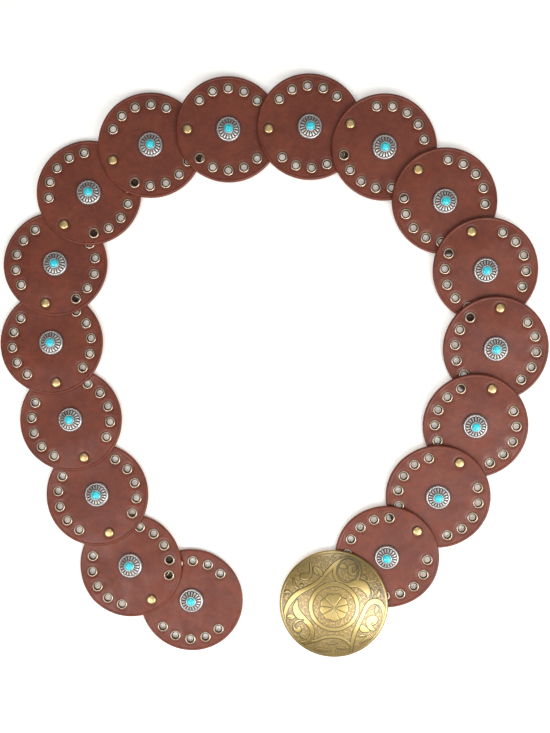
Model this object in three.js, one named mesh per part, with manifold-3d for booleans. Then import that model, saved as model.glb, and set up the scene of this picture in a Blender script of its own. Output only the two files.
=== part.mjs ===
// A concho belt laid open on a table: seventeen round leather discs, each riveted over the one
// before it, with a silver and turquoise concho at the centre of each disc and a domed brass
// buckle over the last one. Millimetres, +Z up. The table is z = 0, and the origin is on it
// below the middle of the belt's box. +Y is the side of the table away from the viewer.
import * as THREE from "three";
import { mergeVertices } from "three/addons/utils/BufferGeometryUtils.js";
import Module from "manifold-3d";

const wasm = await Module();
wasm.setup();

// Fit: the space between pieces that touch, and between a leather disc and the one on it,
// where the rolled edges of the eyelets need room
const seatClearance = 0.3;
const seamGap = 0.6;

// Leather discs
const discDiameter = 70;
const discSides = 24;
const leatherThickness = 2;
const holeEdgeDistance = 8;
const rivetHoleDiameter = 4;
const conchoHoleDiameter = 4;
const eyeletHoleDiameter = 4.6;
const holeSides = 6;
const eyeletAngles = [45, 67.5, 90, 112.5, 135];

// Lay of the strip: the way that each disc points, from the tail disc to the one under the
// buckle, in degrees from +X. A disc climbs from the table onto the one before it by a ramp
// in its middle, which keeps this far from the edge of the disc that overlaps it.
const headings = [178, 122, 108, 110, 97, 76, 52, 22, 0, 3, -34, -49, -69, -95, -113, -121, -138];
const rampMargin = 1;
const longestRampReach = 15;

// Conchos: a rosette, a bezel and a domed stone on a post with a flat screw head at the back
const rosetteDiameter = 16.5;
const rosetteEdge = 0.7;
const rosetteHeight = 2.8;
const bezelDiameter = 7;
const bezelHeight = 1.1;
const bezelTaper = 0.15;
const stoneRise = 1.3;
const stoneShoulder = { widthShare: 0.5, heightShare: 0.8 };
const conchoSides = 9;
const conchoPostDiameter = 3;
const conchoHeadDiameter = 8;

// Rivets
const rivetCapDiameter = 6;
const rivetCapHeight = 1.2;
const rivetCrownDiameter = 3.6;
const rivetPostDiameter = 3;
const rivetBackDiameter = 6;
const backHeadThickness = 1;
const pinSides = 6;

// Buckle: a domed shell with a post through the last disc and a hook on the far side
const buckleDiameter = 72.6;
const buckleSides = 24;
const buckleWall = 1.2;
const buckleRise = 9;
const buckleRingShares = [1, 0.8, 0.53, 0.22];
const bucklePostOffset = 21.2;
const hookOffset = 20.5;
const hookReach = 9;
const hookWidth = 2.6;
const hookThickness = 1.6;
const hookTipRise = 0.8;

const discRadius = discDiameter / 2;
const holeCircleRadius = discRadius - holeEdgeDistance;
const lowLevel = backHeadThickness + seatClearance;
const climb = leatherThickness + seamGap;
const highLevel = lowLevel + climb;

const radians = THREE.MathUtils.degToRad;

// The step of this length in the plane, in the direction that a heading gives
function stride(length, heading) {
  return new THREE.Vector2(length, 0).rotateAround(new THREE.Vector2(), radians(heading));
}

const leather = { color: 0x74402f, roughness: 0.55, metalness: 0 };
const silver = { color: 0xc4bfb6, roughness: 0.3, metalness: 1 };
const rivetBrass = { color: 0xc2a052, roughness: 0.3, metalness: 1 };
const antiqueBrass = { color: 0xa98b57, roughness: 0.35, metalness: 1 };

// A closed solid from a geometry, with the faces that shrink to a line at a pole left out
function toSolid(geometry) {
  geometry.deleteAttribute("normal");
  geometry.deleteAttribute("uv");
  const merged = mergeVertices(geometry, 1e-4);
  const corners = merged.index.array;
  const triVerts = [];
  for (let i = 0; i < corners.length; i += 3) {
    const [a, b, c] = corners.slice(i, i + 3);
    if (a !== b && b !== c && c !== a) {
      triVerts.push(a, b, c);
    }
  }
  const vertProperties = merged.getAttribute("position").array;
  return new wasm.Manifold(
    new wasm.Mesh({ numProp: 3, vertProperties, triVerts: Uint32Array.from(triVerts) }),
  );
}

function toMesh(name, solid, finish) {
  const { vertProperties, triVerts } = solid.getMesh();
  const geometry = new THREE.BufferGeometry();
  geometry.setAttribute("position", new THREE.BufferAttribute(vertProperties, 3));
  geometry.setIndex(new THREE.BufferAttribute(triVerts, 1));
  geometry.computeVertexNormals();
  const mesh = new THREE.Mesh(geometry, new THREE.MeshStandardMaterial(finish));
  mesh.name = name;
  return mesh;
}

// The corners of a regular polygon with the area of the circle of this diameter
function roundOutline(diameter, sides) {
  const turn = (2 * Math.PI) / sides;
  const reach = (diameter / 2) * Math.sqrt(turn / Math.sin(turn));
  return Array.from({ length: sides }, (_, corner) => {
    const angle = (corner + 0.5) * turn;
    return new THREE.Vector2(reach * Math.cos(angle), reach * Math.sin(angle));
  });
}

// An upright prism from one height to another, centred at a point in the plane
function pillar(diameter, sides, bottom, top, x = 0, y = 0) {
  const shape = new THREE.Shape(roundOutline(diameter, sides));
  const geometry = new THREE.ExtrudeGeometry(shape, { depth: top - bottom, bevelEnabled: false });
  geometry.translate(x, y, bottom);
  return toSolid(geometry);
}

// A turned solid about +Z from a profile of [radius, height] pairs that starts on the axis
// below and ends on it above
function turned(profile, sides) {
  const points = profile.map(([radius, height]) => new THREE.Vector2(radius, height));
  const geometry = new THREE.LatheGeometry(points, sides);
  geometry.rotateX(Math.PI / 2);
  return toSolid(geometry);
}

// A flat outline in the X-Z plane given a width along Y
function sideways(outline, width) {
  const shape = new THREE.Shape(outline.map(([x, z]) => new THREE.Vector2(x, z)));
  const geometry = new THREE.ExtrudeGeometry(shape, { depth: width, bevelEnabled: false });
  geometry.rotateX(Math.PI / 2);
  geometry.translate(0, width / 2, 0);
  return toSolid(geometry);
}

// How far from a disc's centre its ramp may reach towards a round piece that overlaps it, whose
// centre is this far along the disc's own direction
function rampReach(along, radius) {
  return Math.min(longestRampReach, along - radius - rampMargin);
}

// The same towards the next disc, which turns away by this many degrees at their rivet
function overlapReach(turn) {
  return rampReach(holeCircleRadius * (1 + Math.cos(radians(turn))), discRadius);
}

// The place of each disc, walked from rivet to rivet, and where its ramp starts and ends
function layStrip() {
  const rivet = new THREE.Vector2(0, 0);
  return headings.map((heading, index) => {
    const step = stride(holeCircleRadius, heading);
    const centre = rivet.add(step).clone();
    const exit = rivet.add(step).clone();
    const isTail = index === 0;
    const isLast = index === headings.length - 1;
    const highReach = isTail ? discRadius : overlapReach(heading - headings[index - 1]);
    const lowReach = isLast
      ? rampReach(holeCircleRadius + bucklePostOffset, buckleDiameter / 2)
      : overlapReach(headings[index + 1] - heading);
    return { number: index + 1, heading, centre, exit, isTail, highReach, lowReach };
  });
}

// The band that a disc is cut from: level on the table side, a ramp, and level above the
// disc before it. The tail disc lies flat.
function leatherBand({ isTail, highReach, lowReach }) {
  const edge = discDiameter;
  const rise = isTail ? 0 : climb;
  const underside = isTail
    ? [[-edge, 0], [edge, 0]]
    : [[-edge, rise], [-highReach, rise], [lowReach, 0], [edge, 0]];
  const top = underside.map(([x, z]) => [x, z + leatherThickness]).reverse();
  return sideways([...underside, ...top], 2 * edge);
}

function leatherDisc(seat) {
  const below = -leatherThickness;
  const above = climb + 2 * leatherThickness;
  const drill = (diameter, x, y) => pillar(diameter, holeSides, below, above, x, y);
  let disc = leatherBand(seat).intersect(pillar(discDiameter, discSides, below, above));
  disc = disc.subtract(drill(conchoHoleDiameter, 0, 0));
  disc = disc.subtract(drill(rivetHoleDiameter, holeCircleRadius, 0));
  if (!seat.isTail) {
    disc = disc.subtract(drill(rivetHoleDiameter, -holeCircleRadius, 0));
  }
  for (const side of [1, -1]) {
    for (const angle of eyeletAngles) {
      const x = holeCircleRadius * Math.cos(radians(angle));
      const y = side * holeCircleRadius * Math.sin(radians(angle));
      disc = disc.subtract(drill(eyeletHoleDiameter, x, y));
    }
  }
  return disc;
}

// The concho, from the underside of the leather at z = 0
function concho() {
  const seat = leatherThickness + seatClearance;
  const edge = seat + rosetteEdge;
  const bezelFoot = seat + rosetteHeight;
  const bezelTop = bezelFoot + bezelHeight;
  const rosette = turned(
    [
      [0, seat],
      [rosetteDiameter / 2, seat],
      [rosetteDiameter / 2, edge],
      [bezelDiameter / 2, bezelFoot],
      [bezelDiameter / 2 - bezelTaper, bezelTop],
      [(stoneShoulder.widthShare * bezelDiameter) / 2, bezelTop + stoneShoulder.heightShare * stoneRise],
      [0, bezelTop + stoneRise],
    ],
    conchoSides,
  );
  const headTop = -seatClearance;
  const headBottom = headTop - backHeadThickness;
  const post = pillar(conchoPostDiameter, pinSides, headTop - backHeadThickness / 2, edge);
  const head = pillar(conchoHeadDiameter, pinSides, headBottom, headTop);
  return rosette.add(post).add(head);
}

// A rivet through two discs, standing on the table
function rivet() {
  const seat = highLevel + leatherThickness + seatClearance;
  const capTop = seat + rivetCapHeight;
  const cap = turned(
    [
      [0, seat],
      [rivetCapDiameter / 2, seat],
      [rivetCrownDiameter / 2, capTop],
      [0, capTop],
    ],
    pinSides,
  );
  const post = pillar(rivetPostDiameter, pinSides, backHeadThickness / 2, seat + rivetCapHeight / 2);
  const back = pillar(rivetBackDiameter, pinSides, 0, backHeadThickness);
  return cap.add(post).add(back);
}

// Height of the buckle's inner face above its rim at a distance from its axis
function hollowHeight(distance) {
  const share = distance / (buckleDiameter / 2 - buckleWall);
  return buckleRise * (1 - share * share);
}

// The buckle, level on the last disc, with its post at -x and its hook at +x, standing on
// the table by the post's head and the foot of the hook
function buckle() {
  const rim = highLevel;
  const outerRadius = buckleDiameter / 2;
  const innerRadius = outerRadius - buckleWall;
  const inside = buckleRingShares
    .map((share) => [share * innerRadius, rim + hollowHeight(share * innerRadius)])
    .reverse();
  const outside = buckleRingShares.map((share) => [
    share * outerRadius,
    rim + buckleWall + buckleRise * (1 - share * share),
  ]);
  const shell = turned(
    [
      [0, rim + buckleRise],
      ...inside,
      [outerRadius, rim],
      ...outside,
      [0, rim + buckleWall + buckleRise],
    ],
    buckleSides,
  );
  const postTop = rim + hollowHeight(bucklePostOffset) + buckleWall / 2;
  const post = pillar(rivetPostDiameter, pinSides, backHeadThickness / 2, postTop, -bucklePostOffset);
  const back = pillar(rivetBackDiameter, pinSides, 0, backHeadThickness, -bucklePostOffset);
  const hookOuter = hookOffset + hookThickness;
  const hookTop = rim + hollowHeight(hookOuter) + buckleWall / 2;
  const tip = hookOffset - hookReach;
  const hook = sideways(
    [
      [tip, 0],
      [hookOuter, 0],
      [hookOuter, hookTop],
      [hookOffset, hookTop],
      [hookOffset, hookThickness],
      [tip + hookThickness, hookThickness],
      [tip, hookThickness + hookTipRise],
    ],
    hookWidth,
  );
  return shell.add(post).add(back).add(hook);
}

const belt = new THREE.Group();
const strip = layStrip();
const conchoSolid = concho();
const rivetSolid = rivet();
const label = (name, number) => `${name}_${String(number).padStart(2, "0")}`;

for (const seat of strip) {
  const lie = new THREE.Group();
  lie.position.set(seat.centre.x, seat.centre.y, lowLevel);
  lie.rotation.z = radians(seat.heading);
  lie.add(toMesh(label("leather_disc", seat.number), leatherDisc(seat), leather));
  const ornament = toMesh(label("concho", seat.number), conchoSolid, silver);
  if (!seat.isTail) {
    const rampLength = seat.highReach + seat.lowReach;
    ornament.position.z = (climb * seat.lowReach) / rampLength;
    ornament.rotation.y = Math.atan2(climb, rampLength);
  }
  lie.add(ornament);
  belt.add(lie);
}

for (const seat of strip.slice(0, -1)) {
  const pin = toMesh(label("rivet", seat.number), rivetSolid, rivetBrass);
  pin.position.set(seat.exit.x, seat.exit.y, 0);
  pin.rotation.z = radians(seat.heading);
  belt.add(pin);
}

const last = strip[strip.length - 1];
const plate = toMesh("buckle", buckle(), antiqueBrass);
const plateCentre = last.exit.clone().add(stride(bucklePostOffset, last.heading));
plate.position.set(plateCentre.x, plateCentre.y, 0);
plate.rotation.z = radians(last.heading);
belt.add(plate);

const box = new THREE.Box3().setFromObject(belt, true);
const middle = box.getCenter(new THREE.Vector3());
belt.position.set(-middle.x, -middle.y, 0);

export default belt;
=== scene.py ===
"""The looks of a concho belt laid open on a table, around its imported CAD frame.

Seventeen round leather discs with brass eyelets, each riveted over the one before it, a silver
and turquoise concho on each disc, and a domed, engraved brass buckle over the last one.
"""

from __future__ import annotations

import logging
import math
from collections.abc import Sequence
from dataclasses import dataclass, field
from enum import Enum

import bpy
import numpy as np
from mathutils import Matrix, Vector, kdtree

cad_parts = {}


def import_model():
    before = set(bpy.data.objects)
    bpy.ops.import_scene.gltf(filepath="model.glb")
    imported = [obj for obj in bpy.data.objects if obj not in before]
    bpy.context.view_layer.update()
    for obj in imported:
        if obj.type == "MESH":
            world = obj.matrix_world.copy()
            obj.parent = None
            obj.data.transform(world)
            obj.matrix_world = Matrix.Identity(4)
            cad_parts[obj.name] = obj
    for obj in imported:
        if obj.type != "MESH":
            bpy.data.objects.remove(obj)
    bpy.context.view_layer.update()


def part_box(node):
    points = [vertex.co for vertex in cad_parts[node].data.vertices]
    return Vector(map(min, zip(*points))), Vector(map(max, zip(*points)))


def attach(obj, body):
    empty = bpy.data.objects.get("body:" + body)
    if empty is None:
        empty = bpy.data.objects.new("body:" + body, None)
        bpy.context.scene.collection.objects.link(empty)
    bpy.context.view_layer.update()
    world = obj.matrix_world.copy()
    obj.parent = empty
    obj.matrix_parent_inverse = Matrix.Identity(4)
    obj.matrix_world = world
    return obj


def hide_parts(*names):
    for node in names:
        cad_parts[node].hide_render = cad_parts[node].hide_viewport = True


LOG = logging.getLogger("concho_belt")
BODY = "root"
MM = 0.001
WELD = 1e-7  # metres between corners that count as one
FAR_AWAY = 1000.0  # millimetres, farther than anything on the belt
BATCH = 8000  # spots whose distance from a stroke is measured at once

Colour = tuple[float, float, float]
Profile = Sequence[tuple[float, float]]
Trail = tuple[tuple[float, float, float], ...]


# Modelling steps that the pieces share


def start_afresh() -> None:
    """Deselects everything, so that an operator works only on what is added next."""
    bpy.ops.object.select_all(action="DESELECT")


def take_up(piece: bpy.types.Object) -> None:
    """Selects one piece alone and makes it the active one.

    Args:
        piece: the piece that the next operator works on
    """
    start_afresh()
    piece.select_set(True)
    bpy.context.view_layer.objects.active = piece


def open_for_editing(piece: bpy.types.Object) -> None:
    """Opens one piece in edit mode with nothing selected in it.

    Args:
        piece: the mesh object to edit
    """
    take_up(piece)
    bpy.ops.object.mode_set(mode="EDIT")
    bpy.ops.mesh.select_all(action="DESELECT")


def close_editing() -> None:
    """Goes back to object mode."""
    bpy.ops.object.mode_set(mode="OBJECT")


def corners_of(piece: bpy.types.Object) -> np.ndarray:
    """Reads the corners of a piece.

    Args:
        piece: a mesh object

    Returns:
        The corners' places as an array with three columns, in metres
    """
    mesh = piece.data
    flat = np.empty(len(mesh.vertices) * 3)
    mesh.vertices.foreach_get("co", flat)
    return flat.reshape(-1, 3)


def move_corners(piece: bpy.types.Object, corners: np.ndarray) -> None:
    """Moves the corners of a piece to new places, in metres."""
    piece.data.vertices.foreach_set("co", corners.ravel())
    piece.data.update()


def note_values(piece: bpy.types.Object, name: str, values: np.ndarray) -> None:
    """Writes one value a corner on a piece, for its material to read.

    Args:
        piece: a mesh object
        name: the attribute's name
        values: one number or one row of three numbers a corner
    """
    if values.ndim == 1:
        attribute = piece.data.attributes.new(name, "FLOAT", "POINT")
        attribute.data.foreach_set("value", values)
    else:
        attribute = piece.data.attributes.new(name, "FLOAT_VECTOR", "POINT")
        attribute.data.foreach_set("vector", values.ravel())


def ease(values: np.ndarray, low: float, high: float) -> np.ndarray:
    """Rises smoothly from 0 to 1.

    Args:
        values: any numbers
        low: where the rise starts
        high: where it ends

    Returns:
        0 below low, 1 above high and a smooth rise between them
    """
    share = np.clip((values - low) / (high - low), 0, 1)
    return share * share * (3 - 2 * share)


def away_from(spots: np.ndarray, x: float = 0.0, y: float = 0.0) -> np.ndarray:
    """Gives how far each spot is from a place in the plane, which is the origin by default."""
    return np.hypot(spots[:, 0] - x, spots[:, 1] - y)


def from_middle(spots: np.ndarray, petals: int, start: float = 0.0) -> np.ndarray:
    """Gives how far each spot is from the middle line of the nearest petal round the origin.

    Args:
        spots: places in the plane
        petals: how many petals there are
        start: where the first one points, in radians

    Returns:
        0 on the middle line and 1 halfway to the next petal
    """
    turn = (np.arctan2(spots[:, 1], spots[:, 0]) - start) * petals / (2 * math.pi)
    return np.abs(2 * (turn - np.round(turn)))


def extrude_rings(profile: Profile) -> None:
    """Extrudes the selected edges from the first ring of a profile through all the others.

    Args:
        profile: radius and height of each ring, in millimetres
    """
    for (radius, height), (next_radius, next_height) in zip(profile, profile[1:]):
        bpy.ops.mesh.extrude_edges_move()
        bpy.ops.transform.translate(value=(0, 0, (next_height - height) * MM))
        share = next_radius / radius
        bpy.ops.transform.resize(value=(share, share, 1), center_override=(0, 0, 0))


def turn_profile(name: str, profile: Profile, steps: int, closed: bool = False) -> bpy.types.Object:
    """Builds a turned shape about the Z axis, ring by ring.

    Args:
        name: the piece's name
        profile: radius and height of each ring, in millimetres
        steps: how many corners each ring has
        closed: whether the last ring joins the first one, as in a hollow ring

    Returns:
        The new piece, with faces that point outwards
    """
    start_afresh()
    first_radius, first_height = profile[0]
    bpy.ops.mesh.primitive_circle_add(
        vertices=steps,
        radius=first_radius * MM,
        fill_type="NOTHING" if closed else "NGON",
        location=(0, 0, first_height * MM),
    )
    piece = bpy.context.active_object
    piece.name = name
    apply_place(piece)
    open_for_editing(piece)
    bpy.ops.mesh.select_all(action="SELECT")
    if not closed:
        bpy.ops.mesh.select_mode(type="EDGE")
    extrude_rings(profile)
    if closed:
        bpy.ops.mesh.select_mode(type="EDGE")
        bpy.ops.mesh.select_non_manifold(extend=False, use_wire=True, use_boundary=True)
        bpy.ops.mesh.bridge_edge_loops()
    else:
        bpy.ops.mesh.edge_face_add()
    face_outwards()
    close_editing()
    return piece


def face_outwards() -> None:
    """Merges doubles and turns every face of the open piece outwards."""
    bpy.ops.mesh.select_mode(type="VERT")
    bpy.ops.mesh.select_all(action="SELECT")
    bpy.ops.mesh.remove_doubles(threshold=WELD)
    bpy.ops.mesh.normals_make_consistent(inside=False)


def apply_place(piece: bpy.types.Object) -> None:
    """Puts a piece's place, turn and scale into its mesh."""
    piece.data.transform(piece.matrix_world)
    piece.matrix_world = Matrix.Identity(4)


def moved_to(x: float, y: float) -> Matrix:
    """Gives the move from the origin to a place in the plane, in millimetres."""
    return Matrix.Translation((x * MM, y * MM, 0))


def smooth(piece: bpy.types.Object, angle: float) -> None:
    """Shades a piece smooth, except where its faces meet at more than an angle in degrees."""
    take_up(piece)
    bpy.ops.object.shade_smooth_by_angle(angle=math.radians(angle))


def join(name: str, pieces: Sequence[bpy.types.Object]) -> bpy.types.Object:
    """Joins pieces into the first one.

    Args:
        name: the joined piece's name
        pieces: mesh objects

    Returns:
        The joined piece
    """
    start_afresh()
    for piece in pieces:
        piece.select_set(True)
    bpy.context.view_layer.objects.active = pieces[0]
    bpy.ops.object.join()
    pieces[0].name = name
    return pieces[0]


def copy_piece(master: bpy.types.Object, name: str, place: Matrix | None = None) -> bpy.types.Object:
    """Copies a piece with its own mesh.

    Args:
        master: the piece to copy
        name: the copy's name
        place: where the copy's mesh goes, or None to leave it

    Returns:
        The copy
    """
    piece = master.copy()
    piece.data = master.data.copy()
    piece.name = name
    piece.data.name = name
    if place is not None:
        piece.data.transform(place)
    bpy.context.scene.collection.objects.link(piece)
    return piece


def apply_modifier(piece: bpy.types.Object, kind: str, **settings: object) -> None:
    """Puts a modifier on a piece and applies it.

    Args:
        piece: the piece to change
        kind: the modifier's type
        settings: the modifier's settings
    """
    take_up(piece)
    modifier = piece.modifiers.new("step", kind)
    for name, setting in settings.items():
        setattr(modifier, name, setting)
    bpy.ops.object.modifier_apply(modifier=modifier.name)


def cut_with(piece: bpy.types.Object, cutter: bpy.types.Object) -> None:
    """Cuts a shape out of a piece and removes the cutter."""
    apply_modifier(piece, "BOOLEAN", operation="DIFFERENCE", solver="EXACT", object=cutter)
    bpy.data.objects.remove(cutter)


def add_block(name: str, size: Sequence[float], middle: Sequence[float]) -> bpy.types.Object:
    """Adds a box.

    Args:
        name: its name
        size: its length, width and height, in millimetres
        middle: where its middle is, in millimetres

    Returns:
        The box, with its place in its mesh
    """
    start_afresh()
    bpy.ops.mesh.primitive_cube_add(size=1)
    block = bpy.context.active_object
    block.name = name
    block.scale = Vector(size) * MM
    block.location = Vector(middle) * MM
    bpy.context.view_layer.update()
    apply_place(block)
    return block


def declare(piece: bpy.types.Object, slot: str, *nodes: str) -> None:
    """Says what a finished piece rides on and hides the CAD nodes that it stands for.

    Args:
        piece: the finished piece
        slot: not used
        nodes: the CAD nodes that it replaces
    """
    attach(piece, BODY)
    if nodes:
        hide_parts(*nodes)
    LOG.info("%s: %d faces", piece.name, len(piece.data.polygons))


# Shader maths and the board that materials are wired on


class Number:
    """A number in a material, on which Python's operators add Math nodes."""

    def __init__(self, board: NodeBoard, socket: bpy.types.NodeSocket) -> None:
        """Wraps the socket that gives the number."""
        self.board = board
        self.socket = socket

    def maths(self, operation: str, *others: Number | float) -> Number:
        """Adds a Math node with this number first and gives its result."""
        return self.board.number("ShaderNodeMath", {"operation": operation}, [self, *others])

    def __add__(self, other: Number | float) -> Number:
        """Adds."""
        return self.maths("ADD", other)

    def __radd__(self, other: float) -> Number:
        """Adds to a plain number."""
        return self.maths("ADD", other)

    def __sub__(self, other: Number | float) -> Number:
        """Subtracts."""
        return self.maths("SUBTRACT", other)

    def __rsub__(self, other: float) -> Number:
        """Subtracts from a plain number."""
        return self.board.number("ShaderNodeMath", {"operation": "SUBTRACT"}, [other, self])

    def __mul__(self, other: Number | float) -> Number:
        """Multiplies."""
        return self.maths("MULTIPLY", other)

    def __truediv__(self, other: Number | float) -> Number:
        """Divides."""
        return self.maths("DIVIDE", other)

    def __abs__(self) -> Number:
        """Drops the sign."""
        return self.maths("ABSOLUTE")

    def rise(self, low: float, high: float) -> Number:
        """Rises smoothly from 0 to 1 between two values."""
        settings = {"interpolation_type": "SMOOTHSTEP"}
        return self.board.number("ShaderNodeMapRange", settings, [self, low, high])


class NodeBoard:
    """The nodes of one material, ending in a Principled shader."""

    def __init__(self, name: str) -> None:
        """Starts a material.

        Args:
            name: the material's name
        """
        self.material = bpy.data.materials.new(name)
        self.material.use_nodes = True
        self.tree = self.material.node_tree
        self.shader = self.tree.nodes["Principled BSDF"]
        self.place = self.node("ShaderNodeTexCoord").outputs["Object"]

    def node(
        self,
        kind: str,
        settings: dict[str, object] | None = None,
        inputs: dict[str | int, object] | None = None,
    ) -> bpy.types.Node:
        """Adds a node.

        Args:
            kind: the node's type
            settings: its settings, which are set first
            inputs: the value or link of each socket

        Returns:
            The node
        """
        node = self.tree.nodes.new(kind)
        for name, setting in (settings or {}).items():
            setattr(node, name, setting)
        for key, value in (inputs or {}).items():
            self.feed(node.inputs[key], value)
        return node

    def feed(self, socket: bpy.types.NodeSocket, value: object) -> None:
        """Sets or links one socket.

        Args:
            socket: the socket to feed
            value: a number, a colour, a Number or another socket
        """
        if isinstance(value, Number):
            value = value.socket
        if isinstance(value, bpy.types.NodeSocket):
            self.tree.links.new(value, socket)
        else:
            socket.default_value = value

    def number(self, kind: str, settings: dict[str, object], values: Sequence[object]) -> Number:
        """Adds a node, with its inputs in order, and gives the number of its first output."""
        return Number(self, self.node(kind, settings, dict(enumerate(values))).outputs[0])

    def attribute(self, name: str) -> bpy.types.Node:
        """Reads a value that a piece holds at its corners."""
        return self.node("ShaderNodeAttribute", {"attribute_name": name})

    def held_number(self, name: str) -> Number:
        """Reads a number that a piece holds at its corners."""
        return Number(self, self.attribute(name).outputs["Fac"])

    def held_place(self, name: str) -> tuple[Number, Number, Number]:
        """Reads a place that a piece holds at its corners, as three numbers."""
        parts = self.node("ShaderNodeSeparateXYZ", {}, {0: self.attribute(name).outputs["Vector"]})
        return tuple(Number(self, output) for output in parts.outputs)

    def noise(self, size: float, detail: float, roughness: float = 0.5) -> Number:
        """Adds a noise pattern.

        Args:
            size: the size of its blotches, in millimetres
            detail: how many finer layers it has
            roughness: how strong the finer layers are

        Returns:
            The noise, around 0.5
        """
        inputs = {
            "Vector": self.place,
            "Scale": 1 / (size * MM),
            "Detail": detail,
            "Roughness": roughness,
        }
        return Number(self, self.node("ShaderNodeTexNoise", {}, inputs).outputs["Fac"])

    def cells(self, size: float) -> Number:
        """Adds a pattern of cells of a size in millimetres and gives the way from their middles."""
        inputs = {"Vector": self.place, "Scale": 1 / (size * MM)}
        return Number(self, self.node("ShaderNodeTexVoronoi", {}, inputs).outputs["Distance"])

    def blend(self, share: Number | float, first: object, second: object) -> bpy.types.NodeSocket:
        """Mixes two colours.

        Args:
            share: how much of the second one shows
            first: a colour or a socket
            second: a colour or a socket

        Returns:
            The mixed colour
        """
        colours = [(*c, 1.0) if isinstance(c, tuple) else c for c in (first, second)]
        inputs = {0: share, 6: colours[0], 7: colours[1]}
        return self.node("ShaderNodeMix", {"data_type": "RGBA"}, inputs).outputs[2]

    def bump(self, height: Number, depth: float, strength: float) -> None:
        """Feeds the shader's normal from a height.

        Args:
            height: the height, where 1 is one depth
            depth: the depth, in millimetres
            strength: how much of it shows
        """
        inputs = {"Height": height, "Distance": depth * MM, "Strength": strength}
        node = self.node("ShaderNodeBump", {}, inputs)
        self.feed(self.shader.inputs["Normal"], node.outputs[0])

    def finish(self, **inputs: object) -> bpy.types.Material:
        """Feeds the Principled shader.

        Args:
            inputs: values of its sockets, with _ for the space in a name

        Returns:
            The finished material
        """
        for name, value in inputs.items():
            if isinstance(value, tuple):
                value = (*value, 1.0)
            self.feed(self.shader.inputs[name.replace("_", " ")], value)
        return self.material


# Finishes


@dataclass(frozen=True)
class LeatherFinish:
    """Satin reddish-brown leather with a burnished edge, painted shade round its fasteners and painted
    shadow below the eyelets above it.

    Args:
        deep: colour of the darker blotches
        warm: colour of the lighter blotches
        edge: colour of the cut edge, also used for the painted shade round a fastener
        flesh: colour of the back
        painted_shadow: colour of the painted shadow where the leather shows through an eyelet of the
            disc above it
        painted_shade: how strong the painted shade round a fastener is
        rim_wear: how much the rim takes the colour of the cut edge
        painted_shadow_share: how much of the painted shadow shows
        grain_depth: depth of the pores and wrinkles, in millimetres
        eyelet_painted_shade: where the painted shade round an eyelet fades: from and to, in
            millimetres
        rivet_painted_shade: the same of a rivet
        concho_painted_shade: the same of the concho
    """

    deep: Colour = (0.126, 0.016, 0.003)
    warm: Colour = (0.238, 0.042, 0.012)
    edge: Colour = (0.085, 0.018, 0.009)
    flesh: Colour = (0.33, 0.17, 0.10)
    painted_shadow: Colour = (0.012, 0.005, 0.003)
    painted_shade: float = 0.7
    rim_wear: float = 0.12
    painted_shadow_share: float = 0.85
    grain_depth: float = 0.085
    eyelet_painted_shade: tuple[float, float] = (3.4, 4.4)
    rivet_painted_shade: tuple[float, float] = (3.1, 4.2)
    concho_painted_shade: tuple[float, float] = (8.4, 9.8)

    def material(self, disc: LeatherDisc) -> bpy.types.Material:
        """Builds the material.

        Args:
            disc: the disc's sizes, for the places of its fasteners

        Returns:
            The material
        """
        board = NodeBoard("satin_leather")
        x, y, z = board.held_place("disc_place")
        radius = (x * x + y * y).maths("SQRT")
        clouds = board.noise(18, 4, 0.6).rise(0.36, 0.64)
        blotches = board.noise(5, 4, 0.65).rise(0.34, 0.66)
        specks = board.noise(1.6, 3, 0.75).rise(0.25, 0.75)
        colour = board.blend(clouds * 0.35 + blotches * 0.35 + specks * 0.3, self.deep, self.warm)
        # painted shade round the eyelets, rivets and concho, in the cut edge's colour
        painted_shade = self.painted_shade_near_fasteners(board, disc, x, y) * self.painted_shade
        colour = board.blend(painted_shade, colour, self.edge)
        rim = radius.rise(disc.radius - 0.5, disc.radius) * self.rim_wear
        colour = board.blend(rim, colour, self.edge)
        back = 1 - z.rise(0.02, 0.1)
        colour = board.blend(back, colour, self.flesh)
        # painted shadow where the leather shows through an eyelet of the disc above
        shadowed = board.held_number("eyelet_shadow") * (1 - back) * self.painted_shadow_share
        colour = board.blend(shadowed, colour, self.painted_shadow)
        pores = board.cells(0.75)
        wrinkles = board.noise(2.6, 5, 0.65)
        board.bump(pores * 0.5 + wrinkles * 1.6, self.grain_depth, 0.75)
        sheen = board.noise(8, 3, 0.55).rise(0.32, 0.68)
        roughness = 0.34 + specks * 0.1 + sheen * 0.22 + rim * 0.1 + back * 0.3
        return board.finish(Base_Color=colour, Roughness=roughness, Specular_IOR_Level=0.66)

    def painted_shade_near_fasteners(self, board: NodeBoard, disc: LeatherDisc, x: Number, y: Number) -> Number:
        """Finds the leather close to an eyelet, a rivet or the concho, where shade is painted.

        Args:
            board: the material's board
            disc: the disc's sizes
            x: place along the disc's axis, in millimetres
            y: place across it, in millimetres

        Returns:
            1 next to a fastener and 0 away from it
        """
        step = math.radians(disc.eyelet_step)
        first = math.radians(disc.eyelet_angles[0])
        last = math.radians(disc.eyelet_angles[-1])
        angle = abs(y).maths("ARCTAN2", x)
        nearest = (angle / step).maths("ROUND") * step
        nearest = nearest.maths("MAXIMUM", first).maths("MINIMUM", last)
        aside = x - nearest.maths("COSINE") * disc.hole_circle_radius
        along = abs(y) - nearest.maths("SINE") * disc.hole_circle_radius
        distance = (aside * aside + along * along).maths("SQRT")
        beside_rivet = abs(x) - disc.hole_circle_radius
        rivet_distance = (beside_rivet * beside_rivet + y * y).maths("SQRT")
        concho_distance = (x * x + y * y).maths("SQRT")
        around_eyelet = 1 - distance.rise(*self.eyelet_painted_shade)
        free_end = board.held_number("free_end") * (1 - x.rise(-1, 1))
        around_rivet = (1 - rivet_distance.rise(*self.rivet_painted_shade)) * (1 - free_end)
        around_concho = 1 - concho_distance.rise(*self.concho_painted_shade)
        return around_eyelet.maths("MAXIMUM", around_rivet).maths("MAXIMUM", around_concho)


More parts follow.
